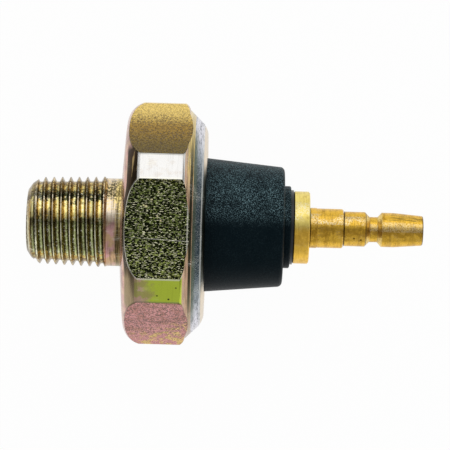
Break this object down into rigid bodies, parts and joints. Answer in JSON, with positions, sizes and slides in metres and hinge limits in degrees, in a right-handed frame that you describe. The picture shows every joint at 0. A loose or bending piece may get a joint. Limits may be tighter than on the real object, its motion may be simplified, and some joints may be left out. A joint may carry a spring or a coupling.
{
  "type": "oil pressure switch",
  "caption": "Single-terminal oil pressure switch: male taper thread, turned hexagon body crimped over a moulded cap, brass bullet terminal, diaphragm and contacts inside.",
  "frame": {"origin": "centre of the threaded end's tip face, on the switch's axis", "axes": "+X along the switch's axis from the thread to the terminal, +Z out of one of the hexagon's flats"},
  "size_m": [0.0426, 0.026, 0.024],
  "materials": {
    "plated_steel": "turned steel, yellow passivated zinc plating, iridescent",
    "plain_steel": "bright zinc",
    "spring_steel": "drawn wire",
    "nitrile_rubber": "matte",
    "amber_film": "amber polyimide film",
    "pin_plastic": "natural moulded nylon",
    "contact_brass": "pressed strip",
    "contact_silver": "silver",
    "cap_plastic": "dark blue-green black phenolic, fine matte moulding texture",
    "gasket_fibre": "dark oil-resistant fibre",
    "terminal_brass": "turned, bare"
  },
  "bodies": {
    "housing": {"threaded_body": "plated_steel", "seal_ring": "nitrile_rubber", "diaphragm_lower": "amber_film", "diaphragm_upper": "amber_film", "clamp_ring": "plain_steel", "fixed_contact": "contact_brass", "contact_spring": "spring_steel", "cap_gasket": "nitrile_rubber", "cap": "cap_plastic", "adjusting_shim": "plain_steel", "inner_washer": "contact_brass", "terminal_gasket": "gasket_fibre", "terminal_collar": "terminal_brass", "terminal_pin": "terminal_brass"},
    "plunger": {"pressure_plate": "plain_steel", "push_pin": "pin_plastic"},
    "contact": {"moving_contact": "contact_brass", "contact_rivet_1": "contact_silver", "contact_rivet_2": "contact_silver", "contact_rivet_3": "contact_silver"}
  },
  "joints": [
    {"name": "plunger_slide", "type": "slide", "parent": "housing", "child": "plunger", "axis": [1, 0, 0], "range_m": [0, 0.0004], "stiffness_N_per_m": 25, "springref_m": -0.0005},
    {"name": "contact_slide", "type": "slide", "parent": "housing", "child": "contact", "axis": [1, 0, 0], "range_m": [0, 0.0004], "stiffness_N_per_m": 25, "springref_m": -0.0005, "deforming": ["contact_spring"]}
  ],
  "couplings": [
    {"joint": "contact_slide", "follows": "plunger_slide", "ratio": 1}
  ]
}
